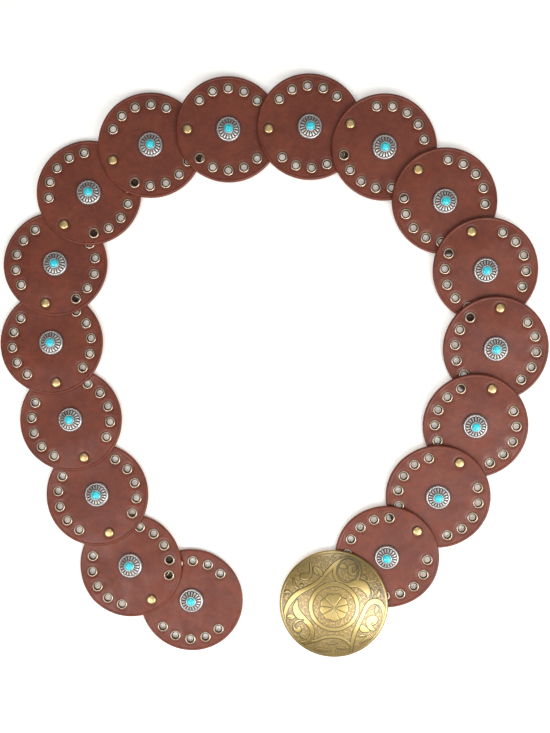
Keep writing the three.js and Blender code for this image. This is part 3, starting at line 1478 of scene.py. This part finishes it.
@dataclass(frozen=True)
class Ornament:
    """The shapes of the engraving, laid out from the dome's axis in millimetres.

    Args:
        wheel_radius: radius of the wheel at the middle
        wheel_spokes: how many spokes it has
        wheel_start: where the first spoke is, in degrees
        wheel_notch: how deep its edge is cut in at each spoke
        spoke_radii: distances of a spoke's places from the axis
        spoke_width: width of a spoke
        ring_inside: inner radius of the plain ring round the wheel
        ring_outside: its outer radius
        eye: centre of the round stippled opening in the top loop
        eye_radius: its radius
        border_radius: radius of the groove inside the plain border
        hatched: where the border is hatched: from, to and step, in degrees
        hatch_length: mean length of a line of the hatching
        hatch_swing: how much longer or shorter a line can be
        hatch_width: width of a line
        detail_width: width of a single engraved line
    """

    wheel_radius: float = 9.7
    wheel_spokes: int = 9
    wheel_start: float = 94.0
    wheel_notch: float = 0.9
    spoke_radii: tuple[float, float, float] = (0.9, 4.5, 8.2)
    spoke_width: float = 0.4
    ring_inside: float = 14.1
    ring_outside: float = 17.0
    eye: tuple[float, float] = (9.3, 24.4)
    eye_radius: float = 6.9
    border_radius: float = 34.9
    hatched: tuple[float, float, float] = (-88, -24, 1.9)
    hatch_length: float = 3.4
    hatch_swing: float = 0.9
    hatch_width: float = 0.3
    detail_width: float = 0.36

    def bands(self) -> list[Stroke]:
        """Gives the plain bands that run together."""
        trails = {
            "left_band": (
                (4.5, 31.0, 1.6), (1.5, 28.8, 2.6), (-2.0, 25.6, 2.9), (-5.5, 22.2, 2.6),
                (-8.5, 18.8, 2.6), (-12.0, 15.8, 2.8), (-16.5, 13.0, 2.9), (-21.0, 10.6, 3.2),
                (-25.0, 7.8, 3.6), (-28.5, 4.0, 3.6), (-31.3, -0.6, 3.2), (-33.0, -5.5, 2.7),
                (-33.4, -11.0, 2.2), (-31.8, -16.8, 1.8), (-28.6, -21.8, 1.4),
            ),
            "crescent": (
                (-24.6, 4.6, 0.6), (-25.4, 1.0, 2.8), (-25.6, -2.6, 4.8), (-23.6, -6.2, 5.4),
                (-19.6, -9.6, 4.2), (-16.2, -13.0, 3.6), (-14.6, -17.0, 3.2), (-15.0, -21.0, 3.0),
                (-16.8, -24.6, 3.4), (-21.0, -26.8, 3.0), (-25.0, -27.0, 1.2),
            ),
            "arch": (
                (-18.0, -26.0, 2.4), (-12.6, -24.6, 2.2), (-8.0, -22.2, 2.2), (-3.6, -20.9, 2.4),
                (0.8, -20.7, 2.6), (5.0, -21.8, 2.4), (8.4, -24.0, 2.4), (11.6, -27.8, 2.4),
            ),
            "right_loop": (
                (11.8, -32.5, 1.6), (12.2, -27.0, 2.6), (13.0, -21.8, 3.0), (14.2, -17.4, 3.2),
                (16.0, -12.8, 3.2), (18.4, -7.4, 3.2), (20.4, -2.8, 3.2), (23.0, 1.4, 3.8),
                (26.6, 3.2, 4.2), (30.4, 2.2, 3.8), (33.0, -1.2, 3.2), (34.0, -6.0, 2.6),
                (33.4, -11.4, 2.4), (31.4, -16.2, 3.0), (27.8, -20.0, 3.6), (22.8, -22.8, 2.8),
                (18.2, -25.8, 1.4),
            ),
            "top_loop": (
                (1.0, 26.8, 2.4), (0.2, 22.6, 2.6), (2.2, 18.2, 2.8), (6.0, 15.6, 2.8),
                (10.4, 15.0, 3.2), (15.0, 15.8, 5.0), (19.4, 14.2, 6.2), (22.2, 10.8, 4.8),
                (22.9, 8.0, 2.4), (22.3, 6.2, 0.8),
            ),
            "top_ring": (
                (1.4, 27.0, 1.8), (5.2, 31.2, 1.4), (10.2, 32.3, 1.1), (15.0, 30.2, 1.1),
                (17.5, 26.0, 1.4), (17.3, 21.4, 1.7), (15.6, 17.8, 2.2),
            ),
        }
        return Stroke.each_of(trails)

    def motifs(self) -> list[Stroke]:
        """Gives the plain scrolls, leaves and buds, each with its own outline."""
        trails = {
            "bud_left": ((-31.2, -8.8, 1.6), (-29.2, -8.4, 4.2), (-26.6, -8.4, 1.2)),
            "scroll_left": (
                (-20.6, -9.9, 0.8), (-23.6, -10.4, 1.6), (-26.0, -12.2, 1.9), (-27.0, -15.0, 1.9),
                (-26.0, -17.8, 2.4), (-23.8, -17.2, 3.8), (-23.4, -15.6, 2.2),
            ),
            "leaf_left": ((-23.2, -20.2, 0.6), (-21.2, -22.2, 2.4), (-18.8, -24.2, 1.0)),
            "leaf_rim_left": ((-34.0, 7.4, 0.5), (-31.6, 8.6, 2.8), (-29.0, 8.0, 1.0)),
            "comma": (
                (-16.0, 28.4, 1.2), (-15.7, 24.4, 1.9), (-16.0, 21.2, 2.4), (-18.4, 19.4, 4.2),
                (-20.6, 19.6, 4.6), (-21.4, 19.2, 3.4),
            ),
            "leaf_top": ((-13.4, 26.0, 1.2), (-12.0, 24.0, 4.2), (-9.4, 22.4, 3.4), (-8.2, 20.6, 1.0)),
            "heart": ((-27.4, 18.0, 0.8), (-27.0, 15.0, 1.8), (-25.6, 12.6, 1.8), (-23.4, 11.4, 0.6)),
            "bud_top_left": ((-21.6, 14.0, 2.4),),
            "wedge_top": ((4.6, 26.6, 2.2), (6.4, 26.8, 3.4), (8.6, 25.8, 0.8)),
            "scroll_top": (
                (15.6, 25.4, 0.6), (13.6, 27.3, 1.4), (11.4, 26.4, 2.6), (10.8, 23.8, 3.0),
                (12.4, 21.9, 2.4), (14.6, 22.8, 1.4), (14.4, 24.5, 0.9),
            ),
            "cloud": ((18.8, -13.4, 2.0), (19.4, -15.4, 4.8), (21.4, -16.6, 3.8), (23.8, -17.6, 1.2)),
            "paisley": (
                (25.4, -13.4, 0.8), (28.0, -11.6, 2.6), (27.2, -9.2, 5.0), (24.6, -9.6, 5.6),
                (23.4, -12.6, 3.8), (25.2, -15.6, 3.4), (28.0, -17.4, 1.4),
            ),
            "bud_right": ((28.2, -4.6, 1.6), (29.0, -2.4, 2.8), (28.8, -0.6, 1.4)),
            "leaf_right": ((29.2, 5.6, 0.6), (30.4, 8.0, 2.8), (30.4, 10.8, 0.5)),
            "streak_right": ((24.6, 12.6, 0.5), (26.0, 9.6, 1.8), (25.8, 6.4, 0.8)),
            "fin_right": ((18.0, 21.0, 0.5), (20.2, 20.2, 1.4), (22.4, 18.0, 0.4)),
            "foot_right": ((16.6, -20.4, 0.8), (18.8, -20.6, 1.9), (21.4, -21.0, 0.6)),
            "lens": ((-13.0, -31.0, 1.0), (-9.0, -31.2, 3.4), (-3.0, -31.6, 1.2)),
            "lens_leaf": ((1.6, -28.8, 0.8), (4.6, -29.4, 2.8), (7.6, -29.8, 0.8)),
            "lens_bud": ((-5.0, -26.4, 0.6), (-1.6, -26.2, 1.6), (2.6, -26.0, 0.6)),
        }
        return Stroke.each_of(trails)

    def details(self) -> list[Stroke]:
        """Gives the single engraved lines."""
        lines = [
            ((-12.6, 24.8), (-11.0, 22.6), (-10.0, 21.2)),
            ((-30.8, -9.0), (-29.6, -9.4), (-28.8, -9.0)),
            ((0.6, 34.4), (-2.6, 31.4), (-4.6, 27.2)),
            ((-33.0, 7.6), (-31.4, 7.9), (-30.2, 8.0)),
            ((-26.2, -12.4), (-26.6, -15.0), (-25.4, -16.6)),
            ((19.0, 29.6), (25.4, 24.0), (30.4, 17.4)),
            ((29.6, 13.4), (32.8, 9.0), (34.0, 4.4)),
            ((-9.8, -25.8), (-12.6, -28.0), (-14.6, -30.4)),
        ]
        return [Stroke(tuple((x, y, self.detail_width) for x, y in line)) for line in lines]

    def spokes(self) -> list[Stroke]:
        """Gives the spokes of the wheel."""
        lines = []
        for spoke in range(self.wheel_spokes):
            angle = math.radians(self.wheel_start + spoke * 360 / self.wheel_spokes)
            lines.append(Stroke.outwards(angle, self.spoke_radii, self.spoke_width))
        return lines

    def hatching(self) -> list[Stroke]:
        """Gives the short lines across the border, low on the right."""
        lines = []
        for angle in np.radians(np.arange(*self.hatched)):
            foot = self.border_radius - self.hatch_length - self.hatch_swing * math.sin(3 * angle)
            lines.append(Stroke.outwards(angle, (foot, self.border_radius), self.hatch_width))
        return lines

    def wheel_gap(self, engraving: Engraving) -> np.ndarray:
        """Gives the distance from the wheel's petalled edge, below zero inside."""
        across = from_middle(engraving.spots, self.wheel_spokes, math.radians(self.wheel_start))
        edge = self.wheel_radius - self.wheel_notch * (1 - across) ** 1.5
        return away_from(engraving.spots) - edge

    def engrave(self, spots: np.ndarray) -> Engraving:
        """Lays out the whole picture.

        Args:
            spots: places in the plane from the dome's axis, in millimetres

        Returns:
            The engraving at those places
        """
        picture = Engraving(spots)
        picture.cover(picture.union(self.bands()), Layer.PLAIN)
        picture.cover(picture.circle_gap(self.eye, self.eye_radius), Layer.GROUND)
        for motif in self.motifs():
            picture.cover(motif.gap(spots), Layer.PLAIN)
        picture.cover(picture.circle_gap((0, 0), self.ring_outside), Layer.PLAIN)
        picture.cover(picture.circle_gap((0, 0), self.ring_inside), Layer.GROUND)
        picture.cover(self.wheel_gap(picture), Layer.PLAIN)
        picture.incise(self.spokes())
        picture.incise(self.details())
        picture.incise(self.hatching())
        radius = away_from(spots)
        border = ease(radius, self.border_radius, self.border_radius + 0.2)
        groove = 1 - ease(np.abs(radius - self.border_radius), 0.08, 0.3)
        picture.line = np.maximum(picture.line * (1 - border), 0.8 * groove)
        picture.plain = np.maximum(picture.plain, border)
        return picture


@dataclass(frozen=True)
class Buckle:
    """The domed brass buckle. Sizes are in millimetres.

    Args:
        radius: radius of the dome
        wall: thickness of the shell
        rise: how high the dome is above its rim
        edge_round: width of the rounding at the edge
        edge_drop: how much lower the edge is for it
        rim_level: height of the rim's underside
        post_offset: distance of the post from the axis
        hook_offset: distance of the hook's stem from the axis
        cells: faces along each side of the grid that the dome is made from
        ground_depth: how deep the stippled ground lies
        line_depth: how deep a line is cut
        punch_depth: how deep a ring is stamped
        punch_pitch: distance between neighbouring rings
        punch_radius: radius of a ring
        punch_seed: start of the rings' unevenness
    """

    radius: float = 36.8
    wall: float = 1.2
    rise: float = 9.0
    edge_round: float = 0.55
    edge_drop: float = 0.5
    rim_level: float = 3.9
    post_offset: float = 21.2
    hook_offset: float = 20.5
    cells: int = 280
    ground_depth: float = 0.06
    line_depth: float = 0.12
    punch_depth: float = 0.07
    punch_pitch: float = 1.7
    punch_radius: float = 0.52
    punch_seed: int = 11

    def outer_height(self, radius: np.ndarray | float) -> np.ndarray | float:
        """Gives the height of the smooth dome at distances from its axis."""
        edge = np.clip((radius - self.radius + self.edge_round) / self.edge_round, 0, 1)
        curve = self.rise * (1 - (radius / self.radius) ** 2)
        return self.rim_level + self.wall + curve - self.edge_drop * edge**2

    def inner_height(self, radius: float) -> float:
        """Gives the height of the hollow side at a distance from its axis."""
        share = radius / (self.radius - self.wall)
        return self.rim_level + self.rise * (1 - share * share)

    def round_grid(self) -> bpy.types.Object:
        """Builds an even grid that fills a circle of the dome's radius."""
        start_afresh()
        bpy.ops.mesh.primitive_grid_add(x_subdivisions=self.cells, y_subdivisions=self.cells, size=2)
        grid = bpy.context.active_object
        corners = corners_of(grid)
        x, y = corners[:, 0].copy(), corners[:, 1].copy()
        wide = np.abs(x) > np.abs(y)
        reach = np.where(wide, x, y)
        safe = np.where(reach == 0, 1, reach)
        quarter = math.pi / 4
        angle = np.where(wide, quarter * y / safe, 2 * quarter - quarter * x / safe)
        corners[:, 0] = reach * np.cos(angle) * self.radius * MM
        corners[:, 1] = reach * np.sin(angle) * self.radius * MM
        move_corners(grid, corners)
        return grid

    def dome(self, ornament: Ornament) -> bpy.types.Object:
        """Builds the engraved dome round the origin, with its hollow underside.

        Args:
            ornament: the engraving

        Returns:
            The dome
        """
        dome = self.round_grid()
        dome.name = "buckle_dome"
        corners = corners_of(dome)
        corners[:, 2] = self.outer_height(away_from(corners) / MM) * MM
        move_corners(dome, corners)
        open_for_editing(dome)
        bpy.ops.mesh.select_mode(type="EDGE")
        bpy.ops.mesh.select_non_manifold(extend=False, use_wire=False, use_boundary=True)
        inner = self.radius - self.wall
        hollow = [inner * share for share in (0.9, 0.75, 0.55, 0.3, 0.08)]
        rim = [
            (self.radius, float(self.outer_height(self.radius))),
            (self.radius, self.rim_level + 0.15),
            (self.radius - 0.25, self.rim_level),
            (inner, self.rim_level + 0.05),
        ]
        extrude_rings([*rim, *((radius, self.inner_height(radius)) for radius in hollow)])
        bpy.ops.mesh.merge(type="CENTER")
        face_outwards()
        close_editing()
        self.carve(dome, ornament)
        return dome

    def carve(self, dome: bpy.types.Object, ornament: Ornament) -> None:
        """Cuts the engraving into the dome and notes its values for the finish.

        Args:
            dome: the smooth dome
            ornament: the engraving
        """
        corners = corners_of(dome)
        spots = corners[:, :2] / MM
        radius = away_from(spots)
        outside = corners[:, 2] / MM > self.outer_height(radius) - self.wall / 4
        picture = ornament.engrave(spots)
        punch = picture.punches(self.punch_pitch, self.punch_radius, self.punch_seed)
        ground = 1 - picture.plain
        sunk = np.maximum(ground * self.ground_depth, picture.line * self.line_depth)
        sunk += punch * self.punch_depth
        corners[:, 2] -= np.where(outside, sunk, 0) * MM
        move_corners(dome, corners)
        values = {"line": picture.line, "ground": ground, "punch": punch, "shade": self.shade(spots)}
        # the hollow underside gets painted shade too
        in_hollow = {"line": 0, "ground": 0.3, "punch": 0, "shade": 0.6}
        for name, value in values.items():
            note_values(dome, name, np.where(outside, value, in_hollow[name]))

    def shade(self, spots: np.ndarray) -> np.ndarray:
        """Gives the painted shade at spots of the dome.

        Args:
            spots: places in the plane from the dome's axis, in millimetres

        Returns:
            The painted shade, which grows towards the rim and towards the upper right
        """
        radius = away_from(spots)
        # painted shade: darker towards the rim and the upper right
        rim = 0.36 * (ease(radius, 29, 36) + 1.6 * ease(radius, 35.5, 36.5))
        upper_right = ease(spots[:, 1] * 0.65 + spots[:, 0] * 0.75, 12, 34)
        return np.maximum(rim, upper_right)

    def post(self) -> bpy.types.Object:
        """Builds the hidden post through the last disc, at the dome's back."""
        cap = [(2.6, 0.0), (3.0, 0.2), (3.0, 0.75), (2.8, 1.0), (1.5, 1.0)]
        top = self.inner_height(self.post_offset) + 0.4
        return turn_profile("buckle_post", [*cap, (1.5, top)], 32)

    def hook(self) -> bpy.types.Object:
        """Builds the hidden hook: a stem, a foot along the table and a raised tip."""
        width, thickness, tip, tip_rise, overlap = 2.6, 1.6, 11.5, 0.8, 0.3
        stem = self.hook_offset + thickness / 2
        up, inwards = Vector((0, 0, 1)), Vector((-1, 0, 0))
        hook = add_block("buckle_hook", (thickness, width, thickness), (stem, 0, thickness / 2))
        self.pull_face(hook, up, self.inner_height(stem) + overlap - thickness)
        self.pull_face(hook, inwards, self.hook_offset - tip - thickness, thickness)
        self.pull_face(hook, inwards, thickness, thickness)
        self.raise_tip(hook, tip, tip_rise)
        apply_modifier(hook, "BEVEL", width=0.3 * MM, segments=3, limit_method="ANGLE")
        return hook

    def pull_face(
        self,
        piece: bpy.types.Object,
        normal: Vector,
        length: float,
        below: float = FAR_AWAY,
    ) -> None:
        """Extrudes the outermost face that points a given way.

        Args:
            piece: the piece to shape
            normal: the way that the face points
            length: how far to pull it, in millimetres
            below: only faces with their middle below this height, in millimetres
        """
        open_for_editing(piece)
        bpy.ops.mesh.select_mode(type="FACE")
        close_editing()
        fitting = [
            face
            for face in piece.data.polygons
            if face.normal.dot(normal) > 0.9 and face.center.z < below * MM
        ]
        max(fitting, key=lambda face: face.center.dot(normal)).select = True
        bpy.ops.object.mode_set(mode="EDIT")
        bpy.ops.mesh.extrude_region_move(TRANSFORM_OT_translate={"value": normal * length * MM})
        close_editing()

    def raise_tip(self, hook: bpy.types.Object, tip: float, rise: float) -> None:
        """Raises the end of the hook.

        Args:
            hook: the hook
            tip: where it ends, in millimetres
            rise: how much thicker it is there
        """
        corners = corners_of(hook)
        end = (corners[:, 0] < (tip + 0.1) * MM) & (corners[:, 2] > 0.5 * MM)
        corners[end, 2] += rise * MM
        move_corners(hook, corners)

    def build(self, strip: Strip, last: Seat, ornament: Ornament, finish: EngravedBrassFinish) -> None:
        """Builds the buckle at its place.

        Args:
            strip: the lay of the discs
            last: how the last disc lies
            ornament: the engraving
            finish: the brass
        """
        material = finish.material()
        centre = moved_to(*strip.middle("buckle"))
        turned = centre @ Matrix.Rotation(last.heading, 4, "Z")
        dome = self.dome(ornament)
        dome.data.transform(centre)
        post = self.post()
        post.data.transform(turned @ moved_to(-self.post_offset, 0))
        hook = self.hook()
        hook.data.transform(turned)
        for piece, angle in ((dome, 60), (post, 40), (hook, 40)):
            for name, value in (("line", 0.0), ("punch", 0.0), ("ground", 0.4), ("shade", 0.4)):
                if name not in piece.data.attributes:
                    note_values(piece, name, np.full(len(piece.data.vertices), value))
            piece.data.materials.append(material)
            smooth(piece, angle)
            declare(piece, "antique_brass", "buckle")


# The studio


@dataclass(frozen=True)
class Softbox:
    """A soft light over the table.

    Args:
        name: the light's name
        place: where it is, in metres
        aim: what it points at, in metres
        size: its width and length, in metres
        power: its power, in watts
        spread: how wide its beam opens, in degrees
    """

    name: str
    place: tuple[float, float, float]
    aim: tuple[float, float, float]
    size: tuple[float, float]
    power: float
    spread: float = 180.0

    def build(self) -> None:
        """Hangs the light."""
        light = bpy.data.lights.new(self.name, "AREA")
        light.shape = "RECTANGLE"
        light.size, light.size_y = self.size
        light.energy = self.power
        light.spread = math.radians(self.spread)
        lamp = bpy.data.objects.new(self.name, light)
        lamp.location = self.place
        way = Vector(self.aim) - Vector(self.place)
        lamp.rotation_euler = way.to_track_quat("-Z", "Y").to_euler()
        bpy.context.scene.collection.objects.link(lamp)


@dataclass(frozen=True)
class Studio:
    """The table, the camera and the light.

    Args:
        camera_place: where the camera is, in metres
        camera_lean: how it leans from straight down about Y and X, in degrees
        lens: its focal length on a 36 mm sensor, in millimetres
        table_size: side of the table, in metres
        table_colour: colour of the table
        table_glow: how strongly the table is lit from below
        glow_reach: how near a thing must be to shade that glow, in millimetres
        sky: colour of the light from all round
        sky_strength: how strong that is
        wall: colour of the wall behind the table
    """

    camera_place: tuple[float, float, float] = (0.0264, 0.0386, 0.6949)
    camera_lean: tuple[float, float] = (2.015, 3.077)
    lens: float = 50.63
    table_size: float = 6.0
    table_colour: Colour = (0.94, 0.93, 0.90)
    table_glow: float = 0.44
    glow_reach: float = 4.5
    sky: Colour = (1.0, 1.0, 1.0)
    sky_strength: float = 0.14
    wall: Colour = (0.85, 0.85, 0.85)
    softboxes: tuple[Softbox, ...] = (
        Softbox("left_key", (-0.42, -0.44, 0.62), (0.04, -0.12, 0), (0.46, 0.46), 2.6),
        Softbox("right_key", (0.52, -0.41, 0.54), (0.04, -0.12, 0), (0.5, 0.5), 4.2),
        Softbox("ceiling", (0.08, 0.0, 1.3), (0.08, 0.0, 0), (1.5, 2.0), 3.7),
        Softbox("front", (0.2, -0.92, 1.05), (0.06, -0.16, 0), (1.1, 1.15), 3.1),
        Softbox("back", (0.0, 0.40, 0.72), (0.033, -0.158, 0), (0.5, 0.4), 0.055, spread=30),
    )

    def set_camera(self) -> None:
        """Puts the camera over the table and makes it the scene's camera."""
        aside, forward = (math.radians(angle) for angle in self.camera_lean)
        view = -Vector(
            (
                math.sin(aside),
                math.sin(forward) * math.cos(aside),
                math.cos(forward) * math.cos(aside),
            )
        )
        right = view.cross(Vector((0, 1, 0))).normalized()
        up = right.cross(view)
        camera = bpy.data.objects.new("camera", bpy.data.cameras.new("camera"))
        camera.data.sensor_width = 36
        camera.data.lens = self.lens
        camera.data.clip_start = 0.01
        turn = Matrix((right, up, -view)).transposed().to_4x4()
        camera.matrix_world = Matrix.Translation(self.camera_place) @ turn
        bpy.context.scene.collection.objects.link(camera)
        bpy.context.scene.camera = camera

    def lay_table(self) -> None:
        """Lays the plain pale table."""
        start_afresh()
        bpy.ops.mesh.primitive_plane_add(size=self.table_size, location=(0, 0, -0.1 * MM))
        table = bpy.context.active_object
        table.name = "table"
        board = NodeBoard("pale_table")
        inputs = {"Color": (*self.table_colour, 1.0), "Distance": self.glow_reach * MM}
        glow = board.node("ShaderNodeAmbientOcclusion", {"samples": 8}, inputs)
        white = board.finish(
            Base_Color=self.table_colour,
            Roughness=0.9,
            Emission_Color=glow.outputs["Color"],
            Emission_Strength=self.table_glow,
        )
        table.data.materials.append(white)

    def light(self) -> None:
        """Lights the scene softly."""
        world = bpy.data.worlds.new("studio")
        world.use_nodes = True
        tree = world.node_tree
        sky = tree.nodes["Background"]
        sky.inputs["Color"].default_value = (*self.sky, 1.0)
        sky.inputs["Strength"].default_value = self.sky_strength
        wall = tree.nodes.new("ShaderNodeBackground")
        wall.inputs["Color"].default_value = (*self.wall, 1.0)
        seen = tree.nodes.new("ShaderNodeLightPath")
        either = tree.nodes.new("ShaderNodeMixShader")
        tree.links.new(seen.outputs["Is Camera Ray"], either.inputs[0])
        tree.links.new(sky.outputs[0], either.inputs[1])
        tree.links.new(wall.outputs[0], either.inputs[2])
        tree.links.new(either.outputs[0], tree.nodes["World Output"].inputs["Surface"])
        bpy.context.scene.world = world
        for softbox in self.softboxes:
            softbox.build()
        bpy.context.scene.view_settings.view_transform = "Standard"

    def build(self) -> None:
        """Sets up the whole studio."""
        self.set_camera()
        self.lay_table()
        self.light()


def main() -> None:
    """Builds the belt around its CAD frame and lights it."""
    logging.basicConfig(level=logging.INFO, format="%(message)s")
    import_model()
    Studio().build()
    disc = LeatherDisc()
    buckle = Buckle()
    strip = Strip()
    seats = strip.seats(disc, buckle)
    disc.build(seats, LeatherFinish())
    eyelet_brass = FastenerBrassFinish("eyelet_brass", (0.72, 0.57, 0.42), (0.11, 0.07, 0.03))
    Eyelets().build(disc, seats, eyelet_brass)
    Concho().build(seats, SilverFinish(), TurquoiseFinish())
    rivet_brass = FastenerBrassFinish("rivet_brass", (0.77, 0.56, 0.26), (0.18, 0.10, 0.04))
    Rivet().build(strip.count - 1, strip, rivet_brass)
    buckle.build(strip, seats[-1], Ornament(), EngravedBrassFinish())


if __name__ == "__main__":
    main()
